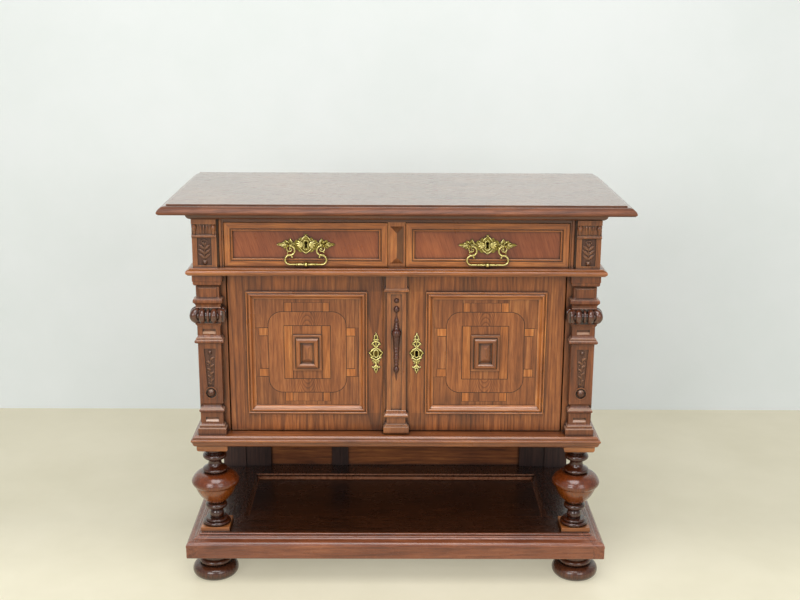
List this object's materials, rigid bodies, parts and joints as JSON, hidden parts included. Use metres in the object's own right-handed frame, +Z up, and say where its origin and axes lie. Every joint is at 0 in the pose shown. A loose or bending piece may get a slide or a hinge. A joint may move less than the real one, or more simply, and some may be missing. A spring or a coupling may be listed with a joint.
{
  "type": "parlour cabinet",
  "caption": "Period oak parlour cabinet with frieze drawers over panelled doors, carried on turned ball supports above an open stand with a low shelf and bun feet.",
  "frame": {"origin": "on the floor, under the centre of the cabinet's bounding box", "axes": "+X to the viewer's right along the front, +Y to the back, +Z up; the front faces -Y"},
  "size_m": [1.19, 0.56, 1.0503],
  "materials": {
    "oak": "satin",
    "turned_oak": "polished",
    "dark_oak": "polished",
    "veneer": "satin",
    "pine": "matt",
    "brass": "polished",
    "lock_iron": "matt"
  },
  "bodies": {
    "carcass": {"top_board": "oak", "bed_moulding": "oak", "top_rail": "oak", "frieze_block_left": "oak", "frieze_block_right": "oak", "drawer_divider": "oak", "waist_moulding": "oak", "dust_board": "pine", "drawer_guides": "pine", "front_stiles": "oak", "pilaster_left": "oak", "pilaster_right": "oak", "gadroon_collar_left": "dark_oak", "gadroon_collar_right": "dark_oak", "side_frame_left": "oak", "side_frame_right": "oak", "side_panels": "oak", "back_panel": "pine", "ledge_board": "oak", "inner_shelf": "pine", "pivot_sockets": "brass", "ball_support_left": "turned_oak", "ball_support_right": "turned_oak", "support_blocks": "oak", "stand_back_frame": "oak", "stand_back_panel": "pine", "base_frame": "oak", "base_panel": "oak", "bun_feet": "dark_oak"},
    "left_drawer": {"drawer_front_left": "veneer", "drawer_moulding_left": "oak", "drawer_box_left": "pine", "pull_plate_left": "brass", "drawer_lock_left": "lock_iron"},
    "left_bail": {"pull_bail_left": "brass"},
    "left_drawer_bolt": {"drawer_bolt_left": "lock_iron"},
    "left_door": {"door_frame_left": "oak", "door_panel_left": "veneer", "door_moulding_left": "oak", "door_boss_left": "oak", "escutcheon_left": "brass", "door_pivots_left": "brass"},
    "right_drawer": {"drawer_front_right": "veneer", "drawer_moulding_right": "oak", "drawer_box_right": "pine", "pull_plate_right": "brass", "drawer_lock_right": "lock_iron"},
    "right_bail": {"pull_bail_right": "brass"},
    "right_drawer_bolt": {"drawer_bolt_right": "lock_iron"},
    "right_door": {"door_frame_right": "oak", "door_panel_right": "veneer", "door_moulding_right": "oak", "door_boss_right": "oak", "escutcheon_right": "brass", "door_pivots_right": "brass", "centre_pilaster": "oak", "centre_baluster": "oak", "door_lock": "lock_iron"},
    "door_bolt": {"door_bolt": "lock_iron"}
  },
  "joints": [
    {"name": "left_drawer_slide", "type": "slide", "parent": "carcass", "child": "left_drawer", "axis": [0, -1, 0], "range_m": [0, 0.3]},
    {"name": "left_bail_swing", "type": "hinge", "parent": "left_drawer", "child": "left_bail", "pos_m": [-0.2325, -0.205, 0.93465], "axis": [-1, 0, 0], "range_deg": [0, 90]},
    {"name": "left_drawer_bolt_slide", "type": "slide", "parent": "left_drawer", "child": "left_drawer_bolt", "axis": [0, 0, 1], "range_m": [0, 0.008]},
    {"name": "left_door_hinge", "type": "hinge", "parent": "carcass", "child": "left_door", "pos_m": [-0.436, -0.171, 0.64025], "axis": [0, 0, -1], "range_deg": [0, 90]},
    {"name": "right_drawer_slide", "type": "slide", "parent": "carcass", "child": "right_drawer", "axis": [0, -1, 0], "range_m": [0, 0.3]},
    {"name": "right_bail_swing", "type": "hinge", "parent": "right_drawer", "child": "right_bail", "pos_m": [0.2325, -0.205, 0.93465], "axis": [-1, 0, 0], "range_deg": [0, 90]},
    {"name": "right_drawer_bolt_slide", "type": "slide", "parent": "right_drawer", "child": "right_drawer_bolt", "axis": [0, 0, 1], "range_m": [0, 0.008]},
    {"name": "right_door_hinge", "type": "hinge", "parent": "carcass", "child": "right_door", "pos_m": [0.436, -0.171, 0.64025], "axis": [0, 0, 1], "range_deg": [0, 90]},
    {"name": "door_bolt_slide", "type": "slide", "parent": "right_door", "child": "door_bolt", "axis": [-1, 0, 0], "range_m": [0, 0.008]}
  ]
}
